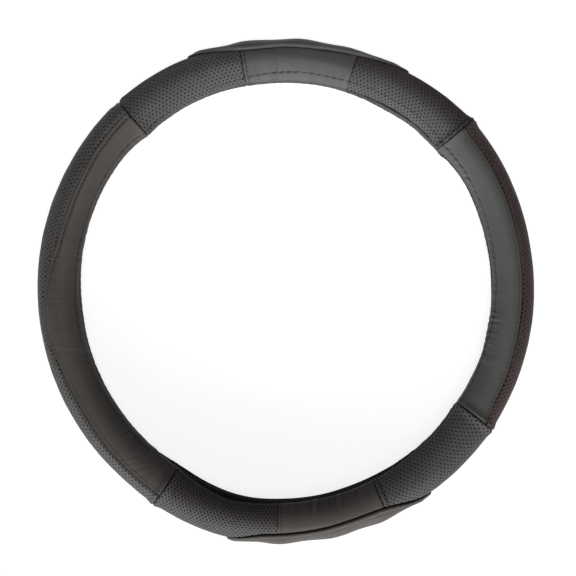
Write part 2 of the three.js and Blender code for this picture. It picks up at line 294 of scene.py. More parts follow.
# The groove of the topstitching beside seams across the rim, and the swell between the two
CROSS_GROOVE = .5
CROSS_REACH = .6
CROSS_SWELL = .1
# Half the width round the section of the padded grips that lie over the leather, and of their sunk outline
TOP_PAD = ((60.3, 5), (61.2, 13), (63, 20), (66, 28), (70, 38), (74, 45), (80, 51), (85, 53), (90, 54),
           (95, 57), (98, 57.5), (101, 54.5), (104, 47), (107, 37), (109.5, 26), (111.5, 16), (113, 5))
BOTTOM_PAD = ((256.6, 5), (257.4, 11), (259, 20), (261, 32), (263, 43), (265, 50), (268, 54), (272, 57),
              (276, 59), (280, 61), (284, 64), (288, 65.5), (292, 65), (294, 63), (296, 58), (298, 50),
              (300, 39), (302, 25), (304, 13), (305.8, 5))
# The depth and reach of the groove in the leather round each grip, and the width of the painted shade along
# it
TOP_PAD_GROOVE = (.4, .45, .42)
BOTTOM_PAD_GROOVE = (.9, .9, 1.3)
# The width of the line of painted shade along the hems' edges
HEM_SHADE = .8
# The heights of the leather's long wrinkles and of its wide swells
WRINKLES = .06
SWELLS = .05
RIPPLE_KNOTS = 4096


def seam_distance(seam, along, around):
    """Distance in mm past a seam across the rim."""
    return (along - seam["at"] - seam["lean"] * around / SEAM_LEAN_TO) * ALONG


def ripple(x, pitch, seed):
    """A random wavy line of about that pitch."""
    knots = np.random.RandomState(seed).standard_normal(RIPPLE_KNOTS)
    at = np.mod(x / pitch * 2, RIPPLE_KNOTS - 1)
    k = at.astype(int)
    t = at - k
    return knots[k] * (1 - eased(t)) + knots[k + 1] * eased(t)


def seam_relief(distance, seam, row):
    """Height beside a seam: the edge rolls down into it, and a row of topstitching pulls the leather down."""
    depth, width = seam["groove"]
    height = seam["bulge"] * (1 - eased(distance / BULGE_REACH)) - depth * np.exp(-(distance / width) ** 2)
    if row:
        swell = CROSS_SWELL * np.exp(-((distance - row / 2) / (row / 2.6)) ** 2) * (distance < 2 * row)
        groove = CROSS_GROOVE * np.exp(-((distance - row) / CROSS_REACH) ** 2)
        height += seam["pulled"] * (swell - groove)
    return height


def outside_pad(outline, along, around):
    """Distance in mm outside the outline of a padded grip."""
    start, end = outline[0][0], outline[-1][0]
    width = drawn(outline, along)
    slope = (drawn(outline, along + .2) - width) / .2 * AROUND / ALONG
    outside = (np.abs(around) - width) * AROUND / np.sqrt(1 + slope**2)
    past = np.maximum(start - along, along - end) * ALONG
    return np.where(past > 0, np.hypot(past, np.maximum(outside, 0)), outside)


def hem_height(edge, row, pulled, beat, along, seed):
    """The rolled hem, its row of stitches and the puckers between them, from the distances to both."""
    stray = PUCKER_STRAY * ripple(along, 1.3, seed)
    roll = HEM_ROLL * (1 - eased(edge / HEM_ROLL_REACH))
    groove = pulled * np.exp(-(row / ROW_REACH) ** 2) * (ROW_GROOVE + ROW_NEEDLING * np.cos(beat))
    beside = pulled * np.exp(-((row + PUCKER_FROM_ROW) / PUCKER_REACH) ** 2)
    return beside * (PUCKER * np.cos(beat) + stray) - roll - groove


def leather_relief(along, around, start, end):
    """The shape and the lines of a panel between two seams across the rim. Height is in mm; edge is the
    distance from the nearest line of painted shade at an edge, in that line's widths; row is the distance in
    mm from the nearest row of stitches, with how hard it is pulled in and how far it is through its stitches."""
    bulge_room = 1 - .5 * eased((np.abs(around) - 95) / 45)
    from_start = seam_distance(start, along, around)
    from_end = (end["at"] < start["at"]) * 360 * ALONG - seam_distance(end, along, around)
    height = bulge_room * (seam_relief(from_start, start, start["after"])
                           + seam_relief(from_end, end, end["before"]))
    pad_lines = []
    for outline, (depth, reach, shade) in ((TOP_PAD, TOP_PAD_GROOVE), (BOTTOM_PAD, BOTTOM_PAD_GROOVE)):
        outside = outside_pad(outline, along, around)
        height -= depth * np.exp(-(outside / reach) ** 2)
        pad_lines.append(outside / shade)
    front_edge = (drawn(FRONT_HEM, along, True) - around) * AROUND
    back_edge = (around - drawn(BACK_HEM, along, True)) * AROUND
    front_row = (drawn(HEM_ROW, along, True) - around) * AROUND
    back_row = (around - BACK_ROW) * AROUND
    pulled = drawn(HEM_PULLED, along, True) * (1 + .15 * ripple(along, 9, 7))
    beat = np.radians(360) * along * ALONG / HEM_PITCH + .5 * ripple(along, 4, 8)
    height += hem_height(front_edge, front_row, pulled, beat, along, 5)
    height += hem_height(back_edge, back_row, BACK_PULLED, beat, along, 6)
    height += WRINKLES * ripple(along + .012 * around, 5.0, 11) * np.cos(np.radians(around * 1.4))
    height += SWELLS * ripple(around + along, 24.0, 12)
    # Where edge is small, the material paints a line of shade along seams, grip outlines and hems
    lines = {"height": height, "row": np.where(around > 0, front_row, back_row), "beat": beat,
             "pulled": np.where(around > 0, pulled, BACK_PULLED),
             "edge": np.minimum.reduce((
                 from_start / start["groove"][1] * 1.3, from_end / end["groove"][1] * 1.3,
                 *pad_lines, front_edge / HEM_SHADE, back_edge / HEM_SHADE))}
    for distance, row, strength in ((from_start, start["after"], start["pulled"]),
                                    (from_end, end["before"], end["pulled"])):
        if row:
            nearer = (np.abs(distance - row) < np.abs(lines["row"])) & (distance < row + 2)
            lines["row"] = np.where(nearer, distance - row, lines["row"])
            lines["pulled"] = np.where(nearer, strength, lines["pulled"])
            lines["beat"] = np.where(nearer, np.radians(360) * around * AROUND / CROSS_PITCH, lines["beat"])
    return lines


def keep_lines(mesh, lines):
    """Gives a mesh the values that its leather's material draws its painted shade, painted highlights and
    stitch rows from. Without a value, a point has no painted shading and lies far from every edge and row."""
    for name, unset in (("painted_shading", 0), ("edge", 9), ("row", 9), ("pulled", 0), ("beat", 0), ("shade_browned", 0)):
        values = np.broadcast_to(lines.get(name, unset), len(mesh.vertices))
        mesh.attributes.new(name, "FLOAT", "POINT").data.foreach_set("value", np.array(values, np.float32))


def wrapped(name, bm, relief, material, node):
    """A flat cut, in mm along the rim and round the section, drawn over the ring and given its thickness."""
    for edge in bm.edges:
        edge.smooth = not edge.is_boundary
    mesh = bpy.data.meshes.new(name)
    bm.to_mesh(mesh)
    bm.free()
    flat = vertex_places(mesh)
    along, around = flat[:, 0] / ALONG, flat[:, 1] / AROUND
    lines = relief(along, around)
    reach = LEATHER_REACH + lines.pop("height")
    mesh.vertices.foreach_set("co", place(along, around, reach, TURN_IN).ravel())
    if "hole_rim_shade" in mesh.attributes:
        hole_rim_shade = np.empty(len(mesh.vertices))
        mesh.attributes["hole_rim_shade"].data.foreach_get("value", hole_rim_shade)
        # Painted shade round the rims of the holes
        lines["painted_shading"] = np.maximum(lines.get("painted_shading", 0), .15 * hole_rim_shade)
    keep_lines(mesh, lines)
    piece = put_up(name, mesh, material, (node,))
    wall = piece.modifiers.new("thickness", "SOLIDIFY")
    wall.thickness = LEATHER_THICKNESS * MM
    wall.offset = -1
    mesh.materials.append(raw_edge)
    wall.material_offset_rim = 1
    return piece


def slice_open(bm, at, facing, clear):
    """Cuts a mesh along a plane, and takes away what lies outside it if asked to."""
    bmesh.ops.bisect_plane(bm, geom=bm.verts[:] + bm.edges[:] + bm.faces[:], dist=1e-4, plane_co=at,
                           plane_no=facing, clear_outer=clear)


def punched(start, end, low, high, pitch, row, turn, hem_cuts=()):
    """A flat cut of perforated leather between two seams, in mm: a lattice whose every second corner is
    opened to a round hole. Its rows can lie turned a few degrees on the cut. Beside its seams and hems it
    gets extra edges, so that they roll down smoothly."""
    x0, x1 = start["at"] * ALONG, (end["at"] + 360 * (end["at"] < start["at"])) * ALONG
    y0, y1 = low * AROUND, high * AROUND
    lean = math.radians(turn)
    width = (x1 - x0 + 8) * math.cos(lean) + (y1 - y0) * abs(math.sin(lean))
    length = (y1 - y0) * math.cos(lean) + (x1 - x0 + 8) * abs(math.sin(lean))
    columns, rows = 2 * math.ceil(width / pitch), 2 * math.ceil(length / row / 2)
    bm = bmesh.new()
    bmesh.ops.create_grid(bm, x_segments=columns, y_segments=rows, size=.5)
    bmesh.ops.scale(bm, vec=(columns * pitch / 2, rows * row, 1), verts=bm.verts[:])
    # The vertices round each hole are marked, to be given painted shade round the hole's rim
    hole_rim_shade = bm.verts.layers.float.new("hole_rim_shade")
    holes = [v for v in bm.verts if not v.is_boundary and v.co.y > BARE_HEM - (y1 - y0) / 2
             and round(v.co.x / pitch * 2 + columns / 2 + v.co.y / row + rows / 2) % 2 == 0]
    opened = bmesh.ops.bevel(bm, geom=holes, affect="VERTICES", offset=HOLE_RADIUS, offset_type="OFFSET",
                             segments=1, profile=.5, material=-1, clamp_overlap=False)["faces"]
    edges = list({edge for face in opened for edge in face.edges})
    bmesh.ops.delete(bm, geom=opened, context="FACES_ONLY")
    bmesh.ops.bisect_edges(bm, edges=edges, cuts=1)
    stray = np.random.RandomState(columns).uniform(-HOLE_STRAY, HOLE_STRAY, (columns + 1, 2 * rows + 1, 2))
    for v in bm.verts:
        i, j = round(v.co.x / pitch * 2), round(v.co.y / row)
        middle = Vector((i * pitch / 2, j * row, 0))
        if .3 * HOLE_RADIUS < (v.co - middle).length < 1.2 * HOLE_RADIUS:
            v.co = middle + (v.co - middle).normalized() * HOLE_RADIUS
            v.co += Vector((*stray[i + columns // 2, j + rows // 2], 0))
            v[hole_rim_shade] = 1
    bmesh.ops.rotate(bm, cent=(0, 0, 0), matrix=Matrix.Rotation(lean, 3, "Z"), verts=bm.verts[:])
    bmesh.ops.translate(bm, vec=((x0 + x1) / 2, (y0 + y1) / 2, 0), verts=bm.verts[:])
    for seam, x, side, stitches in ((start, x0, 1, start["after"]), (end, x1, -1, end["before"])):
        slant = seam["lean"] / SEAM_LEAN_TO / AROUND * ALONG
        beside_row = [stitches + k for k in (-.8, -.35, 0, .35, .8)] if stitches else []
        for inset in sorted([-SEAM_OVERLAP, .35, .7, 1.1, 1.7] + beside_row):
            slice_open(bm, (x + side * inset, 0, 0), (-side, side * slant, 0), inset < 0)
    for y, side in ((y0, 1), (y1, -1)):
        for inset in (0, .4, .9, 1.6):
            slice_open(bm, (0, y + side * inset, 0), (0, -side, 0), inset == 0)
    for cut in hem_cuts:
        slice_open(bm, (0, cut * AROUND, 0), (0, 1, 0), False)
    return bm


def draw_in(bm, low, high):
    """Draws a cut's front and back parts in to the hems, which don't reach equally far round everywhere."""
    along = np.array([v.co.x / ALONG for v in bm.verts])
    for v, front, back in zip(bm.verts, drawn(FRONT_HEM, along, True), drawn(BACK_HEM, along, True)):
        around = v.co.y / AROUND
        hem, cut_at = (front, high) if around > 0 else (back, low)
        if abs(around) > FLAT_PART:
            from_here = math.copysign(FLAT_PART, around)
            share = (around - from_here) / (cut_at - from_here)
            v.co.y = (from_here + share * (hem - from_here)) * AROUND


def attribute(tree, name):
    """The values that keep_lines has given a mesh under that name."""
    settings = {"attribute_name": name, "attribute_type": "GEOMETRY"}
    return add(tree, "ShaderNodeAttribute", settings).outputs["Fac"]


def multiplied(tree, colour, by, factor=1.0):
    """A colour multiplied by another one, or by a grey."""
    return add(tree, "ShaderNodeMix", {"data_type": "RGBA", "blend_type": "MULTIPLY"}, _0=factor,
               _6=colour, _7=by).outputs[2]


def maths(tree, operation, *values):
    """The result of a Math node."""
    numbered = {f"_{k}": value for k, value in enumerate(values)}
    return add(tree, "ShaderNodeMath", {"operation": operation}, **numbered).outputs["Value"]


def leather(name, deep, pale, roughness, grain_mm):
    """Split cowhide with a pressed grain and a satin polyurethane finish. The grain shows as a fine broken
    gloss, and the dye is a little uneven. Painted shade darkens creases, edges, stitch rows and needle holes,
    and painted highlights lighten some ridges and rolled edges. Where a brown-tinted painted shade lies, the
    leather also shines less."""
    material, tree = new_material(name)
    place_on = add(tree, "ShaderNodeTexCoord").outputs["Object"]
    dye = add(tree, "ShaderNodeTexNoise", Vector=place_on, Scale=28.0, Detail=3.0, Roughness=.55)
    grain = add(tree, "ShaderNodeTexVoronoi", {"feature": "F1"}, Vector=place_on, Scale=1 / (grain_mm * MM))
    pores = add(tree, "ShaderNodeTexNoise", Vector=place_on, Scale=1.4 / (grain_mm * MM), Detail=2.0)
    edge, row, pulled, beat = (attribute(tree, line) for line in ("edge", "row", "pulled", "beat"))
    shade_browned = attribute(tree, "shade_browned")

    tone = add(tree, "ShaderNodeMix", {"data_type": "RGBA"}, _0=dye.outputs["Fac"],
               _6=linear(deep), _7=linear(pale)).outputs[2]
    valleys = add(tree, "ShaderNodeMapRange", Value=grain.outputs["Distance"],
                  From_Max=.8, To_Min=.9, To_Max=1.06).outputs["Result"]
    # Painted shade with a brown tint darkens parts of some panels, by the angle round the section
    tone = multiplied(tree, multiplied(tree, tone, linear("#c3aaa8"), shade_browned), valleys)

    # Painted shade: the leather darkens in lines along seams, hem edges, the lap and round the grips
    edge_shade = add(tree, "ShaderNodeMapRange", {"interpolation_type": "SMOOTHSTEP"}, Value=edge,
                     From_Min=.3, From_Max=1.6, To_Min=.95, To_Max=0.0).outputs["Result"]
    # Painted shade in the rows of stitches: dashes darken the leather in the groove and at the needle holes,
    # as strongly as the row is pulled
    from_row = maths(tree, "ABSOLUTE", maths(tree, "MULTIPLY_ADD", maths(tree, "SINE", beat), .2, row))
    in_row = add(tree, "ShaderNodeMapRange", {"interpolation_type": "SMOOTHSTEP"}, Value=from_row,
                 From_Max=1.1, To_Min=1.0, To_Max=0.0).outputs["Result"]
    dash = maths(tree, "MULTIPLY_ADD", maths(tree, "COSINE", beat), .36, .7)
    stitches = maths(tree, "MULTIPLY", maths(tree, "MULTIPLY", dash, pulled), in_row)
    lines = maths(tree, "MAXIMUM", edge_shade, stitches)
    # The painted shading kept on the mesh adds painted shade, and paints highlights where it is negative
    painted_total = maths(tree, "MINIMUM", maths(tree, "ADD", lines, attribute(tree, "painted_shading")), 1.0)
    shade_factor = add(tree, "ShaderNodeMapRange", {"clamp": False}, Value=painted_total, To_Min=1.0, To_Max=.1)
    tone = multiplied(tree, tone, shade_factor.outputs["Result"])

    sheen = add(tree, "ShaderNodeMapRange", Value=pores.outputs["Fac"],
                To_Min=roughness - .07, To_Max=roughness + .1)
    # The leather shines less where that painted shade lies
    shine = add(tree, "ShaderNodeMapRange", Value=shade_browned, To_Min=.25, To_Max=.05)
    pressed = maths(tree, "MULTIPLY_ADD", grain.outputs["Distance"], .7, pores.outputs["Fac"])
    skin = add(tree, "ShaderNodeBump", Strength=.35, Distance=.00012, Height=pressed)
    shader = add(tree, "ShaderNodeBsdfPrincipled", Base_Color=tone, Roughness=sheen.outputs["Result"],
                 Specular_IOR_Level=shine.outputs["Result"], Normal=skin.outputs["Normal"])
    add(tree, "ShaderNodeOutputMaterial", Surface=shader.outputs["BSDF"])
    return material


# The cut edges of the leather, and the walls of its holes: raw fibre, dyed through, in a dull near black
# darker than the leather's face, which also paints shade into the holes
raw_edge, tree = new_material("raw_dyed_leather_edge")
place_on = add(tree, "ShaderNodeTexCoord").outputs["Object"]
fibre = add(tree, "ShaderNodeTexNoise", Vector=place_on, Scale=4000.0)
tone = add(tree, "ShaderNodeMix", {"data_type": "RGBA"}, _0=fibre.outputs["Fac"],
           _6=linear("#12100f"), _7=linear("#201c1b"))
shader = add(tree, "ShaderNodeBsdfPrincipled", Base_Color=tone.outputs[2], Roughness=.9)
add(tree, "ShaderNodeOutputMaterial", Surface=shader.outputs["BSDF"])

GRAIN_MM = .9  # the real grain is about 0.4 mm, drawn coarser so that it shows
punched_leather = leather("punched_charcoal_leather", "#484746", "#575554", .58, GRAIN_MM)
# How much painted shade, tinted brown, darkens each panel and dulls its shine, from 0 to 1, by the angle
# round the section
SHADE_BROWNED = {
    "upper_right_panel": ((-100, 0), (0, 1), (22, 1), (44, .75), (65, .3), (85, .1), (120, .05)),
    "upper_left_panel": ((-100, 0), (0, .7), (22, .7), (50, 0)),
    "lower_left_panel": ((0, .1), (53, .08), (75, .1), (95, .45), (140, .4)),
    "lower_right_panel": ((0, 0), (90, 0)),
}

# Each panel's seams, the pitch of its holes and rows in mm, the rows' turn in degrees, and its front end
for name, first, last, pitch, row, turn, high in (
        ("upper_right_panel", "upper_right", "top_right", 3.38, 2.4, -11, 166),
        ("upper_left_panel", "top_left", "upper_left", 3.4, 2.44, 1, 166),
        ("lower_left_panel", "lower_left", "bottom_left", 2.9, 2.43, 3.5, 142),
        ("lower_right_panel", "bottom_right", "lower_right", 3.5, 2.55, 0, 148)):
    bm = punched(SEAMS[first], SEAMS[last], -FULL_CUT, high, pitch, row, turn, HEM_CUTS)
    draw_in(bm, -FULL_CUT, high)

    def panel_relief(along, around, first=first, last=last, shade_browned=SHADE_BROWNED[name]):
        lines = leather_relief(along, around, SEAMS[first], SEAMS[last])
        # How much brown-tinted painted shade lies on the panel
        lines["shade_browned"] = drawn(shade_browned, around)
        return lines

    wrapped(name + "_leather", bm, panel_relief, punched_leather, name)


# Long perforated strips. At the wheel's left and right the punched leather covers the outer edge and the
# back, and its front edge runs under the lapped edge of a smooth strip.
LAP = 3
STRIP_CUT = 96
# By how many line widths the shadow in the lap is wider (+) or narrower (-) than elsewhere
LAP_SHADE = ((0, .1), (43, .1), (131, -.9), (172, -.9), (186, -.7), (196, .1), (238, .3), (325, -.2),
             (335, 0))
RIGHT_SEAM = ((320, 62), (326, 62), (331, 66), (340, 67), (350, 68), (360, 68), (380, 67), (402, 66),
              (410, 66))
LEFT_SEAM = ((125, 75), (131.7, 75), (138, 75.5), (145, 77), (150, 80), (155, 81), (160, 81.5), (165, 79),
             (170, 75), (174, 66), (178, 57.5), (182, 50), (186, 41.5), (188.5, 39.5), (191, 43.5),
             (194, 51), (197, 58), (200, 61.5), (205, 65), (209, 66.5), (214, 66), (219, 64.5), (225, 63.5),
             (231, 63), (238.4, 64), (245, 64))
brown_leather = leather("punched_brown_black_leather", "#423736", "#524342", .6, GRAIN_MM)

for name, first, last, line, pitch, row, turn, material in (
        ("left_perforated_strip", "upper_left", "lower_left", LEFT_SEAM, 3.3, 2.85, 0, punched_leather),
        ("right_perforated_strip", "lower_right", "upper_right", RIGHT_SEAM, 3.55, 2.75, -2, brown_leather)):
    bm = punched(SEAMS[first], SEAMS[last], -FULL_CUT, STRIP_CUT, pitch, row, turn)
    draw_in(bm, -FULL_CUT, FULL_CUT)
    middles = np.array([face.calc_center_median() for face in bm.faces])
    past = middles[:, 1] - drawn(line, middles[:, 0] / ALONG) * AROUND
    bmesh.ops.delete(bm, geom=[face for face, over in zip(bm.faces[:], past) if over > LAP], context="FACES")

    def strip_relief(along, around, first=first, last=last, line=line):
        lines = leather_relief(along, around, SEAMS[first], SEAMS[last])
        past = (around - drawn(line, along)) * AROUND
        lines["height"] -= 1.3 * eased((past + 2.2) / 1.9)
        # Painted shade in the lap, beside the smooth strip's edge
        lines["edge"] = np.minimum(lines["edge"], -past - drawn(LAP_SHADE, along, True))
        return lines

    wrapped(name + "_leather", bm, strip_relief, material, name)


# Smooth panels. Plain leather covers the top and the bottom of the rim, between the punched panels.
# It is cut a little full, so the bottom one gathers in fine folds towards its hem.
SMOOTH_STEP = .8
LEAN_REACH = 25  # over this length from a slanting seam, the mesh turns straight
smooth_leather = leather("smooth_charcoal_leather", "#474746", "#545452", .54, GRAIN_MM)
# A darker, browner copy of the smooth leather, for the bottom panel, the left strip and the bottom grip:
# partly browner leather, partly painted shade where less light falls there
shaded_smooth_brown_leather = leather("shaded_smooth_brown_charcoal_leather", "#433f3c", "#4e4a47", .54, GRAIN_MM)


def plain(start, end, low, high):
    """A flat cut of plain leather between two seams across the rim and two lines along it, in mm. Its mesh
    is finer beside the seams."""
    x0, x1 = start["at"] * ALONG, (end["at"] + 360 * (end["at"] < start["at"])) * ALONG
    near = []
    for row in (start["after"], end["before"]):
        beside_row = [row + k for k in (-.7, -.35, 0, .35, .7)] if row else []
        beside_seam = [-SEAM_OVERLAP, .3, .6, .95, 1.4, 2]
        near.append(np.array(sorted({round(k, 2) for k in beside_seam + beside_row})))
    inner = (x0 + near[0][-1], x1 - near[1][-1])
    columns = np.concatenate((x0 + near[0],
                              np.linspace(*inner, math.ceil((inner[1] - inner[0]) / SMOOTH_STEP))[1:-1],
                              x1 - near[1][::-1]))
    first_rows = np.array([0, .3, .65, 1.1, 1.7])
    rows = math.ceil((high(x0) - low(x0)) * AROUND / SMOOTH_STEP)
    shares = np.concatenate((first_rows, np.linspace(2.5, 97.5, rows), 100 - first_rows[::-1]))
    bm = bmesh.new()
    bmesh.ops.create_grid(bm, x_segments=len(columns) - 1, y_segments=len(shares) - 1, size=.5)
    for v in bm.verts:
        i = round((v.co.x + .5) * (len(columns) - 1))
        j = round((v.co.y + .5) * (len(shares) - 1))
        v.co.x, v.co.y = columns[i], shares[j] / 100
    for v in bm.verts:
        share = v.co.y
        along = v.co.x / ALONG
        bottom, top = low(along), high(along)
        around = bottom + (top - bottom) * share
        nearer = start if v.co.x - x0 < x1 - v.co.x else end
        fade = min(1, max(0, 1 - min(v.co.x - x0, x1 - v.co.x) / LEAN_REACH))
        v.co.x += nearer["lean"] * around / SEAM_LEAN_TO * ALONG * fade
        v.co.y = around * AROUND
    return bm


def front_hem(along):
    """The angle round the section where the leather's front hem ends."""
    return float(drawn(FRONT_HEM, np.array([along]), True)[0])


def back_hem(along):
    """The angle round the section where its back hem ends."""
    return float(drawn(BACK_HEM, np.array([along]), True)[0])


def folds(along, around, middle, reach, low, high, pitch, seed, slant=0):
    """Fine folds across the rim: a random ripple along it, strongest in one place. They start from one
    angle round the section and have their full height from another one on."""
    window = np.exp(-((along - middle) / reach) ** 2) * eased((around - low) / (high - low))
    slanted = along + slant * (around - 90)
    return window * (ripple(slanted, pitch, seed) * .6 + .4 * ripple(slanted, pitch * .45, seed + 1))


def gathered(along, around):
    """The folds of the top panel, and the stronger ones of the bottom panel."""
    return (.3 * folds(along, around, 280, 11, 92, 130, 1.1, 21, -.02)
            + .1 * folds(along, around, 88, 16, 70, 110, 2.2, 23))


for name, first, last, material in (("top_panel", "top_right", "top_left", smooth_leather),
                                    ("bottom_panel", "bottom_left", "bottom_right", shaded_smooth_brown_leather)):
    bm = plain(SEAMS[first], SEAMS[last], back_hem, front_hem)

    def panel_relief(along, around, first=first, last=last):
        lines = leather_relief(along, around, SEAMS[first], SEAMS[last])
        full = gathered(along, around)
        lines["height"] += full
        # Painted shade in the folds, and a painted highlight on their ridges
        lines["painted_shading"] = np.clip(-full, -.3, .3)
        return lines

    wrapped(name + "_leather", bm, panel_relief, material, name)


# Smooth strips. Along the front of the wheel's left and right a smooth strip laps over the punched one.
# Its edge is turned under and topstitched, and the seam wanders where it was sewn by hand.

# How far inside the lapped edge its row of stitches runs
LAP_ROWS = {"left_smooth_strip": 3.3, "right_smooth_strip": 2.2}
# How deep the row is pulled in along the rim, which also sets how dark its painted shade is: in the left
# strip's lower part it hardly shows
ROW_PULL = ((0, .6), (43, .6), (131, .9), (172, .9), (182, .3), (238, .2), (325, .6))
LAP_PITCH = 3.3 / 1.06

for name, first, last, line, material in (
        ("left_smooth_strip", "upper_left", "lower_left", LEFT_SEAM, shaded_smooth_brown_leather),
        ("right_smooth_strip", "lower_right", "upper_right", RIGHT_SEAM, smooth_leather)):
    bm = plain(SEAMS[first], SEAMS[last],
               lambda along: float(drawn(line, np.array([along]))[0]), front_hem)

    def lapped_relief(along, around, first=first, last=last, line=line, row=LAP_ROWS[name]):
        lines = leather_relief(along, around, SEAMS[first], SEAMS[last])
        inside = (around - drawn(line, along)) * AROUND
        beat = np.radians(360) * along * ALONG / LAP_PITCH
        pulled = drawn(ROW_PULL, along, True)
        full = (.11 * folds(along, around, 178, 9, 45, 80, .7, 31)
                + .07 * folds(along, around, 194, 8, 45, 75, .9, 32, -.035)
                + .13 * folds(along, around, 229, 8, 60, 75, .9, 33, -.07) * (1 - eased((around - 85) / 30))
                + .2 * folds(along, around, 226, 14, 105, 128, .8, 34)
                + .2 * folds(along, around, 350, 13, 104, 128, 1.0, 35)
                + .2 * folds(along, around, 26, 11, 104, 126, .9, 37))
        lines["height"] += .5 * (1 - eased(inside / 4.5)) - .7 * (1 - eased(inside / .6)) + full
        lines["height"] -= pulled * np.exp(-((inside - row) / .6) ** 2) * (.4 + .25 * np.cos(beat))
        # Painted shade in the folds, and a painted highlight on their ridges
        lines["painted_shading"] = np.clip(-.9 * full, -.3, .3)
        # Painted shade along the lapped edge
        lines["edge"] = np.minimum(lines["edge"], inside / .6 - drawn(LAP_SHADE, along, True))
        nearer = np.abs(inside - row) < np.abs(lines["row"])
        lines["row"] = np.where(nearer, inside - row, lines["row"])
        lines["pulled"] = np.where(nearer, pulled, lines["pulled"])
        lines["beat"] = np.where(nearer, beat, lines["beat"])
        return lines

    wrapped(name + "_leather", bm, lapped_relief, material, name)


# Grip pads. Over the outer edge at the top and the bottom lies a crescent of the same smooth leather,
# padded with thin foam into bumps between the fingers. Its edge is turned under and sewn down all round.
PAD_THICKNESS = {
    "top": ((60.3, 1.2), (61.5, 1.6), (64, 2.3), (67, 1.6), (70, 1.3), (75, 1.85), (80, 1.2), (86.5, 2.4),
            (92, 1.1), (100, 2.0), (104, 1.15), (108, 2.3), (110.3, 2.9), (112, 2.2), (113, 1.2)),
    "bottom": ((256.6, 2.2), (257.6, 3.0), (260, 2.3), (264, 1.5), (268, 2.4), (275, 1.0), (281, 2.4),
               (288, 1.1), (292.5, 2.1), (297, 1.1), (300, 1.2), (303, 2.9), (305, 2.5), (305.8, 1.2)),
}
PAD_STEP = .9
PAD_ROWS = 56
EDGE_CROWDING = 1.35
PAD_BEAD = 1.6
PAD_ROLL = 2.3
PAD_SEAT = .05
PAD_GROOVE = .5  # the depth of the groove that the sewing pulls, inside the rolled edge
PAD_GROOVE_AT = 4
# How strong the painted highlight on the rolled edge is, how strong the painted shade on the tips is, and the
# height of fine creases
PAINTED_EDGE_HIGHLIGHT = {"top": 1.25, "bottom": .1}
PAINTED_TIP_SHADE = {"top": .45, "bottom": 0}
CREASED = {"top": 0, "bottom": .03}

for name, outline, where, material in (("top_grip_pad", TOP_PAD, "top", smooth_leather),
                                       ("bottom_grip_pad", BOTTOM_PAD, "bottom", shaded_smooth_brown_leather)):
    start, end = outline[0][0], outline[-1][0]
    columns = math.ceil((end - start) * ALONG / PAD_STEP)
    bm = bmesh.new()
    bmesh.ops.create_grid(bm, x_segments=columns, y_segments=PAD_ROWS, size=1)
    under = bmesh.ops.extrude_face_region(bm, geom=bm.faces[:], use_keep_orig=True)["geom"]
    bmesh.ops.translate(bm, vec=(0, 0, -1), verts=[v for v in under if isinstance(v, bmesh.types.BMVert)])
    bmesh.ops.recalc_face_normals(bm, faces=bm.faces[:])
    mesh = bpy.data.meshes.new(where + "_grip")
    bm.to_mesh(mesh)
    bm.free()
    cut = vertex_places(mesh)
    along = start + (cut[:, 0] + 1) / 2 * (end - start)
    across = np.sign(cut[:, 1]) * (1 - (1 - np.abs(cut[:, 1])) ** EDGE_CROWDING)
    half = drawn(outline, along)
    around = across * half
    slope = (drawn(outline, along + .2) - drawn(outline, along - .2)) / .4 * AROUND / ALONG
    from_edge = (1 - np.abs(across)) * half * AROUND / np.sqrt(1 + slope**2)
    from_end = np.minimum(along - start, end - along) * ALONG
    inside = np.minimum(from_edge, from_end)
    bead = PAD_BEAD * np.sqrt(1 - (1 - np.clip(inside / PAD_ROLL, 0, 1)) ** 2)
    filled = drawn(PAD_THICKNESS[where], along) - PAD_BEAD
    rise_over = 3 + 6 * eased(from_end / 25)
    height = bead + filled * eased((inside - 1) / rise_over)
    height -= PAD_GROOVE * np.exp(-((inside - PAD_GROOVE_AT) / 1.1) ** 2)
    height += .04 * ripple(along + .02 * around, 4.0, 41)
    height += CREASED[where] * ripple(along + .05 * around, .8, 43)
    # Painted shade in the sewn groove and at the very edge, a painted highlight on the rolled edge, and
    # painted shade towards the tips
    painted_shading = .2 * np.exp(-((inside - PAD_GROOVE_AT) / .9) ** 2) + .9 * (1 - eased(inside / .25))
    painted_shading -= PAINTED_EDGE_HIGHLIGHT[where] * np.exp(-((inside - 1.3) / .85) ** 2) * eased((from_end - 12) / 25)
    painted_shading += PAINTED_TIP_SHADE[where] * (1 - eased(from_end / 26))
    topside = cut[:, 2] > -.5
    height = np.where(topside, np.maximum(height, PAD_SEAT + .02), PAD_SEAT)
    mesh.vertices.foreach_set("co", place(along, around, LEATHER_REACH + height).ravel())
    keep_lines(mesh, {"painted_shading": painted_shading})
    pad = put_up(where + "_grip", mesh, material, (name,))


# Stitching. Twisted polyester thread, dark grey: long stitches hold both hems, and shorter ones the edges
# of the smooth strips. Each stitch lies in the groove that it has pulled into the leather.
thread, tree = new_material("twisted_polyester_thread")
place_on = add(tree, "ShaderNodeTexCoord").outputs["Object"]
twist = add(tree, "ShaderNodeTexWave", {"bands_direction": "DIAGONAL"}, Vector=place_on,
            Scale=900.0, Distortion=2.0)
tone = add(tree, "ShaderNodeMix", {"data_type": "RGBA"}, _0=twist.outputs["Fac"],
           _6=linear("#191818"), _7=linear("#2b2928"))
skin = add(tree, "ShaderNodeBump", Strength=.4, Distance=.0001, Height=twist.outputs["Fac"])
shader = add(tree, "ShaderNodeBsdfPrincipled", Base_Color=tone.outputs[2], Roughness=.6,
             Normal=skin.outputs["Normal"])
add(tree, "ShaderNodeOutputMaterial", Surface=shader.outputs["BSDF"])

THREAD_WIDTH = .5
HEM_STITCH = 3.6
LAP_STITCH = 2.1
SUNK_IN_HEM = .3
SUNK_IN_LAP = .2


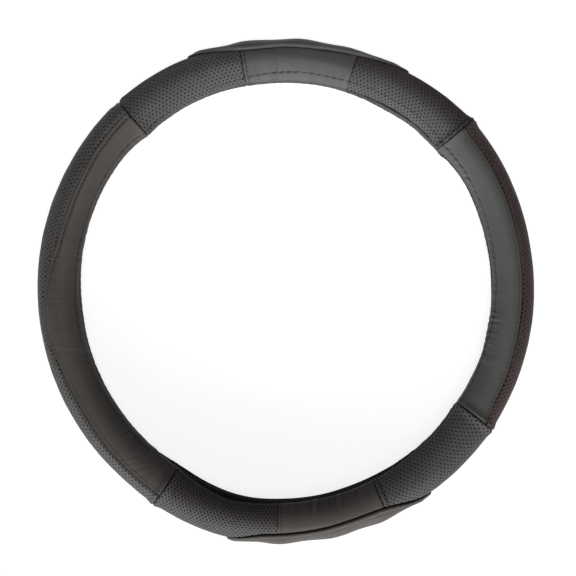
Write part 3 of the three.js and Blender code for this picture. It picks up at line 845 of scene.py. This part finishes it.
def sewn(name, rows):
    """Rows of stitches as one piece. Each row gives the ends of its stitches: two arrays of angles along the
    rim, two of angles round the section, and their reach."""
    one = bmesh.new()
    bmesh.ops.create_uvsphere(one, u_segments=6, v_segments=5, radius=1)
    bmesh.ops.rotate(one, cent=(0, 0, 0), matrix=Matrix.Rotation(math.pi / 2, 3, "Y"), verts=one.verts[:])
    stitch = bpy.data.meshes.new("stitch")
    one.to_mesh(stitch)
    one.free()
    bm = bmesh.new()
    for along, around, reach in rows:
        ends = [place(along[k], around[k], reach) for k in (0, 1)]
        middle = (ends[0] + ends[1]) / 2
        out = place((along[0] + along[1]) / 2, (around[0] + around[1]) / 2, reach + 1) - middle
        for a, b, at, up in zip(*ends, middle, out):
            x = Vector(b - a)
            length = x.length
            x.normalize()
            y = Vector(up).cross(x).normalized()
            thick = THREAD_WIDTH * MM / 2
            shape = Matrix((x * length / 2, y * thick, x.cross(y) * thick)).transposed().to_4x4()
            copy = stitch.copy()
            copy.transform(Matrix.Translation(Vector(at)) @ shape)
            bm.from_mesh(copy)
            bpy.data.meshes.remove(copy)
    mesh = bpy.data.meshes.new(name)
    bm.to_mesh(mesh)
    bm.free()
    bpy.data.meshes.remove(stitch)
    return put_up(name, mesh, thread)


def stitch_run(start, end, pitch, length, line, reach):
    """Stitches along the rim, between two angles, on a line round the section."""
    at = np.arange(start * ALONG, end * ALONG, pitch) / ALONG
    ends = at, at + length / ALONG
    return ends, (line(ends[0]), line(ends[1])), reach


sewn("hem_stitching", [
    stitch_run(0, 360, HEM_PITCH, HEM_STITCH, line, LEATHER_REACH - SUNK_IN_HEM)
    for line in (lambda along: drawn(HEM_ROW, along, True), lambda along: np.full_like(along, BACK_ROW))])
left_in, right_in = (LAP_ROWS[strip] / AROUND for strip in ("left_smooth_strip", "right_smooth_strip"))
sewn("lap_seam_stitching", [
    stitch_run(first, last, LAP_PITCH, LAP_STITCH, line, LEATHER_REACH - SUNK_IN_LAP)
    for first, last, line in (
        (132.5, 237.8, lambda along: drawn(LEFT_SEAM, along) + left_in),
        (326.8, 401.2, lambda along: drawn(RIGHT_SEAM, along) + right_in))])


# Studio. A pale table, softboxes low at the lower left and right, weak soft light from above, and a camera
# that looks straight down, as in the photograph.
CAMERA_AT = (.0018, .0024, 1.21785)
LENS_MM = 96.7
SENSOR_MM = 36
TABLE_REACH = 4

bm = bmesh.new()
bmesh.ops.create_grid(bm, x_segments=1, y_segments=1, size=TABLE_REACH)
table_mesh = bpy.data.meshes.new("table_top")
bm.to_mesh(table_mesh)
bm.free()
table_top = bpy.data.objects.new("table_top", table_mesh)
bpy.context.scene.collection.objects.link(table_top)
# Pale laminate, smooth and matt. It looks white to the camera and in reflections, and keeps its shadows
white, tree = new_material("white_laminate")
paths = add(tree, "ShaderNodeLightPath").outputs
seen = maths(tree, "MAXIMUM", paths["Is Camera Ray"], paths["Is Glossy Ray"])
seen = maths(tree, "MAXIMUM", seen, paths["Is Transmission Ray"])
flat = add(tree, "ShaderNodeBsdfDiffuse", Color=linear("#b0b0b0"))
glow = add(tree, "ShaderNodeEmission", Color=(1, 1, 1, 1), Strength=.8)
lit = add(tree, "ShaderNodeAddShader", _0=flat.outputs["BSDF"], _1=glow.outputs["Emission"])
both = add(tree, "ShaderNodeMixShader", _0=seen, _1=flat.outputs["BSDF"], _2=lit.outputs["Shader"])
add(tree, "ShaderNodeOutputMaterial", Surface=both.outputs["Shader"])
table_mesh.materials.append(white)

world = bpy.data.worlds.new("studio_air")
bpy.context.scene.world = world
world.use_nodes = True
air = world.node_tree.nodes["Background"].inputs
air["Color"].default_value = (1, 1, 1, 1)
air["Strength"].default_value = .04


def soft_lamp(name, at, power, size=.7, aim=(0, 0, 0), spread=180):
    """A square softbox, in W and metres. A grid in front of it can narrow its light to so many degrees."""
    lamp = bpy.data.lights.new(name, "AREA")
    lamp.shape = "SQUARE"
    lamp.size = size
    lamp.energy = power
    lamp.spread = math.radians(spread)
    lamp_at = bpy.data.objects.new(name, lamp)
    lamp_at.location = at
    lamp_at.rotation_euler = (Vector(aim) - Vector(at)).to_track_quat("-Z", "Y").to_euler()
    bpy.context.scene.collection.objects.link(lamp_at)


soft_lamp("lower_left_softbox", (-1.383, -1.383, .416), 23.5)
soft_lamp("lower_softbox", (-.506, -1.890, .416), 10.5)
soft_lamp("lower_right_softbox", (.572, -1.871, .416), 27.5)
soft_lamp("overhead_softbox", (0, 0, 2), 5.4)
soft_lamp("grid_over_the_top", (0, .1, .75), .29, .4, (0, .22, 0), 50)
soft_lamp("grid_from_the_right", (.2, -.15, .75), .18, .4, (.12, .17, 0), 60)

camera = bpy.data.cameras.new("camera")
camera.lens = LENS_MM
camera.sensor_width = SENSOR_MM
camera.clip_start, camera.clip_end = .01, 20
camera_at = bpy.data.objects.new("camera", camera)
camera_at.location = CAMERA_AT
bpy.context.scene.collection.objects.link(camera_at)
bpy.context.scene.camera = camera_at

bpy.context.scene.view_settings.view_transform = "Standard"
